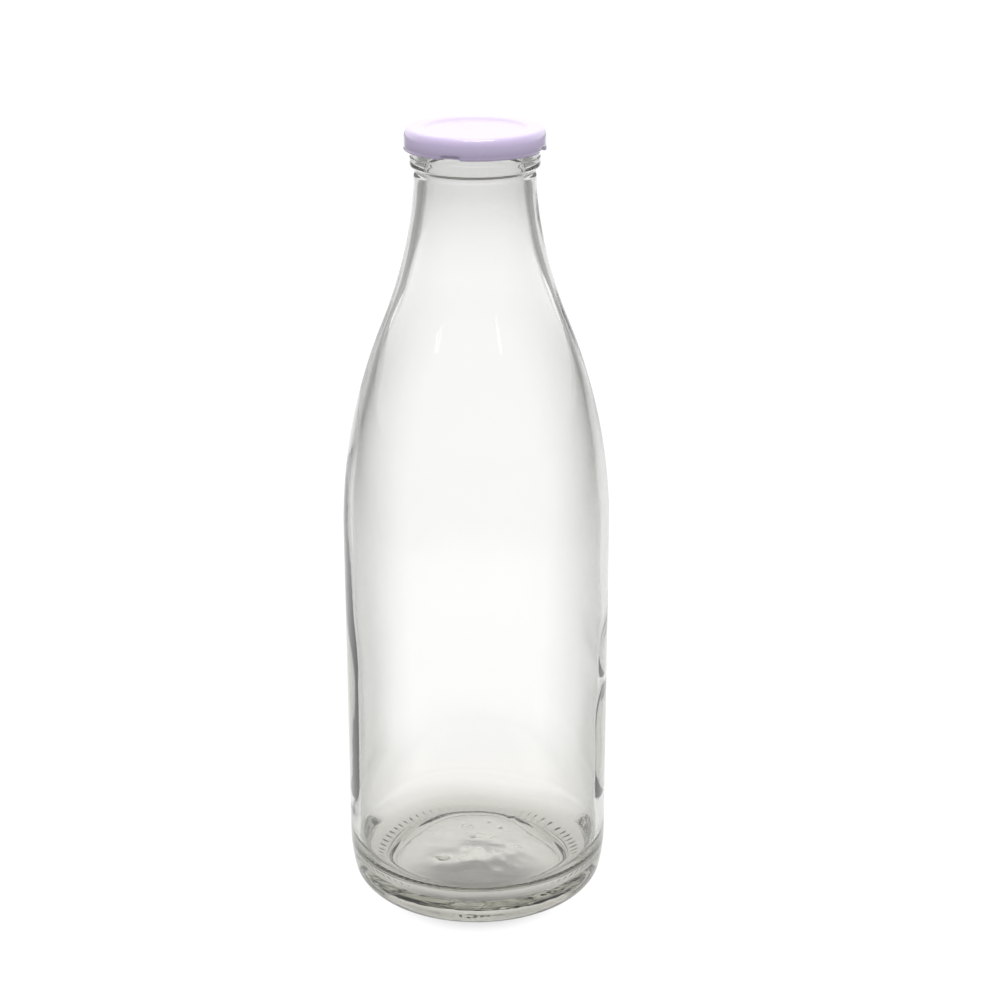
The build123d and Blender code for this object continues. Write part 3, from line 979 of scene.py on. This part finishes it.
def model_gasket(settings):
    """The ring of compound, with the groove that the glass rim presses into it."""
    low, high = GASKET_BOX
    bottom, top = low.z, high.z
    inner = PANEL_RADIUS + PANEL_STEP_RUN + GASKET_GAP
    width = high.x - inner
    flat = width - 2 * GASKET_EDGE
    side = top - bottom - 2 * GASKET_EDGE
    inner_land = 0.2 * width
    groove_side = 0.12 * width
    groove_floor = 0.3 * width
    outer_land = flat - inner_land - 2 * groove_side - groove_floor
    points = path_points((inner, bottom + GASKET_EDGE + GASKET_LIP), -90, [
        (0, GASKET_LIP, 1),
        (GASKET_EDGE, 90, 5),
        (0, inner_land, 2),
        *side_step(GASKET_GROOVE, groove_side, 3),
        (0, groove_floor, 3),
        *side_step(-GASKET_GROOVE, groove_side, 3),
        (0, outer_land, 2),
        (GASKET_EDGE, 90, 5),
        (0, side, 2),
        (GASKET_EDGE, 90, 5),
        (0, flat, 6),
        (GASKET_EDGE, 90, 5),
    ])
    points.append(points[0])
    piece = spin_outline("cap_compound", points, {}, CAP_STEPS)
    compound = coated_material("Sealing Compound", settings.compound, 0.55, 0.0, COMPOUND_GRAIN)
    piece.data.materials.append(compound)
    return piece


# Stage

TOP_BOX_PLACE = (0, 0.15, 1.25)
TOP_BOX_SIZE = (0.5, 0.5)
RIM_BOX_PLACE = (0.05, -0.36, 1.1)
RIM_BOX_SIZE = (0.6, 0.10)
SHOULDER_HEIGHT = 0.207
STRIP_WAYS = {"left_strip": (-0.69, -0.6, 0.392), "right_strip": (0.49, -0.76, 0.422)}
STRIP_SIZE = (0.045, 0.045)


def model_floor(settings):
    """A light table: a pale sheet lit from below, brightest behind the bottle, with a painted shadow under
    the bottle.
    """
    deselect_all()
    bpy.ops.mesh.primitive_plane_add(size=settings.floor_size, location=(0, 0, 0))
    floor = bpy.context.object
    floor.name = "studio_floor"
    material, tree, output = new_material("Light Table")
    surface = add_node(
        tree, "ShaderNodeBsdfPrincipled", (200, 0),
        Base_Color=(0.02, 0.02, 0.02, 1), Roughness=0.9, Emission_Color=(1, 1, 1, 1))
    # the mask holds a painted shadow under the bottle as well as the fade in front and to the sides
    fade = place_group(tree, "Table Fade And Shadow", (-500, 0))
    light = add_node(
        tree, "ShaderNodeMapRange", (-200, 0), To_Min=settings.dim_floor, To_Max=settings.lit_floor)
    tree.links.new(fade.outputs["Mask"], light.inputs["Value"])
    tree.links.new(light.outputs["Result"], surface.inputs["Emission Strength"])
    tree.links.new(surface.outputs["BSDF"], output.inputs["Surface"])
    floor.data.materials.append(material)
    return floor


def add_area_light(name, place, target, size, power):
    """A soft box at a place, turned to a target."""
    data = bpy.data.lights.new(name, "AREA")
    data.shape = "RECTANGLE"
    data.size, data.size_y = size
    data.energy = power
    light = bpy.data.objects.new(name, data)
    light.location = place
    light.rotation_euler = (Vector(target) - Vector(place)).to_track_quat("-Z", "Y").to_euler()
    bpy.context.scene.collection.objects.link(light)
    return light


def light_boxes(settings):
    """A soft box overhead, a small one for the cap's edge and two strips for the shoulder."""
    cap = (0, 0, SHELL_BOX[0].z)
    shoulder = Vector((0, 0, SHOULDER_HEIGHT))
    top_box = add_area_light("top_box", TOP_BOX_PLACE, cap, TOP_BOX_SIZE, settings.top_power)
    rim_box = add_area_light("rim_box", RIM_BOX_PLACE, cap, RIM_BOX_SIZE, settings.rim_power)
    # Seen through the glass the two boxes would show as broken white spots in the heel
    top_box.visible_transmission = False
    rim_box.visible_transmission = False
    for name, way in STRIP_WAYS.items():
        add_area_light(name, shoulder + Vector(way), shoulder, STRIP_SIZE, settings.strip_power)


def light_room(settings):
    """A pale room: bright behind the bottle and overhead, dimmer in front of it."""
    world = bpy.data.worlds.new("Studio Room")
    world.use_nodes = True
    tree = world.node_tree
    background = tree.nodes["Background"]
    background.inputs["Color"].default_value = (1, 1, 1, 1)
    place = add_node(tree, "ShaderNodeTexCoord", (-900, 0))
    axes = add_node(tree, "ShaderNodeSeparateXYZ", (-700, 0))
    back = add_node(
        tree, "ShaderNodeMapRange", (-450, 150), interpolation_type="SMOOTHSTEP",
        From_Min=-0.3, From_Max=0.7, To_Min=settings.front_light, To_Max=settings.back_light)
    high = add_node(
        tree, "ShaderNodeMapRange", (-450, -150), interpolation_type="SMOOTHSTEP",
        From_Min=0.35, From_Max=0.9)
    light = add_node(tree, "ShaderNodeMix", (-200, 0), data_type="FLOAT", B=settings.top_light)
    tree.links.new(place.outputs["Generated"], axes.inputs["Vector"])
    tree.links.new(axes.outputs["Y"], back.inputs["Value"])
    tree.links.new(axes.outputs["Z"], high.inputs["Value"])
    tree.links.new(high.outputs["Result"], light.inputs["Factor"])
    tree.links.new(back.outputs["Result"], light.inputs["A"])
    tree.links.new(light.outputs["Result"], background.inputs["Strength"])
    bpy.context.scene.world = world


def set_camera(settings):
    """The camera, level from side to side and looking down at the bottle."""
    data = bpy.data.cameras.new("Camera")
    data.lens = settings.lens
    data.sensor_width = 36.0
    data.clip_start = 0.01
    data.clip_end = 100.0
    camera = bpy.data.objects.new("Camera", data)
    camera.location = settings.camera_place
    camera.rotation_euler = (pi / 2 - settings.camera_drop, 0, 0)
    bpy.context.scene.collection.objects.link(camera)
    bpy.context.scene.camera = camera


# Operators


class MILKBOTTLE_OT_bottle(bpy.types.Operator):
    """Model the glass bottle"""

    bl_idname = "milkbottle.bottle"
    bl_label = "Glass Bottle"

    def execute(self, context):
        piece = model_bottle(context.scene.milk_bottle)
        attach(piece, "glass")
        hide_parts("bottle")
        return {"FINISHED"}


class MILKBOTTLE_OT_cap(bpy.types.Operator):
    """Model the twist-off cap"""

    bl_idname = "milkbottle.cap"
    bl_label = "Lug Cap"

    def execute(self, context):
        piece = model_cap(context.scene.milk_cap)
        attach(piece, "cap")
        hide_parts("cap_shell")
        return {"FINISHED"}


class MILKBOTTLE_OT_gasket(bpy.types.Operator):
    """Model the ring of sealing compound in the cap"""

    bl_idname = "milkbottle.gasket"
    bl_label = "Gasket"

    def execute(self, context):
        piece = model_gasket(context.scene.milk_cap)
        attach(piece, "seal")
        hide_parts("cap_gasket")
        return {"FINISHED"}


class MILKBOTTLE_OT_stage(bpy.types.Operator):
    """Add the floor, the lights and the camera"""

    bl_idname = "milkbottle.stage"
    bl_label = "Studio Stage"

    def execute(self, context):
        settings = context.scene.milk_stage
        model_floor(settings)
        light_room(settings)
        light_boxes(settings)
        set_camera(settings)
        context.scene.view_settings.view_transform = "Standard"
        context.scene.cycles.max_bounces = 24
        context.scene.cycles.transmission_bounces = 24
        context.scene.cycles.glossy_bounces = 8
        return {"FINISHED"}


class MILKBOTTLE_PT_panel(bpy.types.Panel):
    """Lists the bottle's pieces and settings"""

    bl_idname = "MILKBOTTLE_PT_panel"
    bl_label = "Milk Bottle"
    bl_space_type = "VIEW_3D"
    bl_region_type = "UI"
    bl_category = "Milk Bottle"

    def draw(self, context):
        for settings, names in (
            (context.scene.milk_bottle, ("bottle",)),
            (context.scene.milk_cap, ("cap", "gasket")),
            (context.scene.milk_stage, ("stage",)),
        ):
            box = self.layout.box()
            for name in settings.__annotations__:
                box.prop(settings, name)
            for name in names:
                box.operator("milkbottle." + name)


CLASSES = (
    BottleSettings, CapSettings, StageSettings,
    MILKBOTTLE_OT_bottle, MILKBOTTLE_OT_cap, MILKBOTTLE_OT_gasket, MILKBOTTLE_OT_stage,
    MILKBOTTLE_PT_panel,
)


def register():
    """Register the classes and put their settings on the scene."""
    for cls in CLASSES:
        bpy.utils.register_class(cls)
    bpy.types.Scene.milk_bottle = PointerProperty(type=BottleSettings)
    bpy.types.Scene.milk_cap = PointerProperty(type=CapSettings)
    bpy.types.Scene.milk_stage = PointerProperty(type=StageSettings)


def unregister():
    """Take the settings off the scene and unregister the classes."""
    del bpy.types.Scene.milk_stage
    del bpy.types.Scene.milk_cap
    del bpy.types.Scene.milk_bottle
    for cls in reversed(CLASSES):
        bpy.utils.unregister_class(cls)


def main():
    """Build every piece and the stage."""
    register()
    bpy.ops.milkbottle.stage()
    bpy.ops.milkbottle.bottle()
    bpy.ops.milkbottle.cap()
    bpy.ops.milkbottle.gasket()


if __name__ == "__main__":
    main()
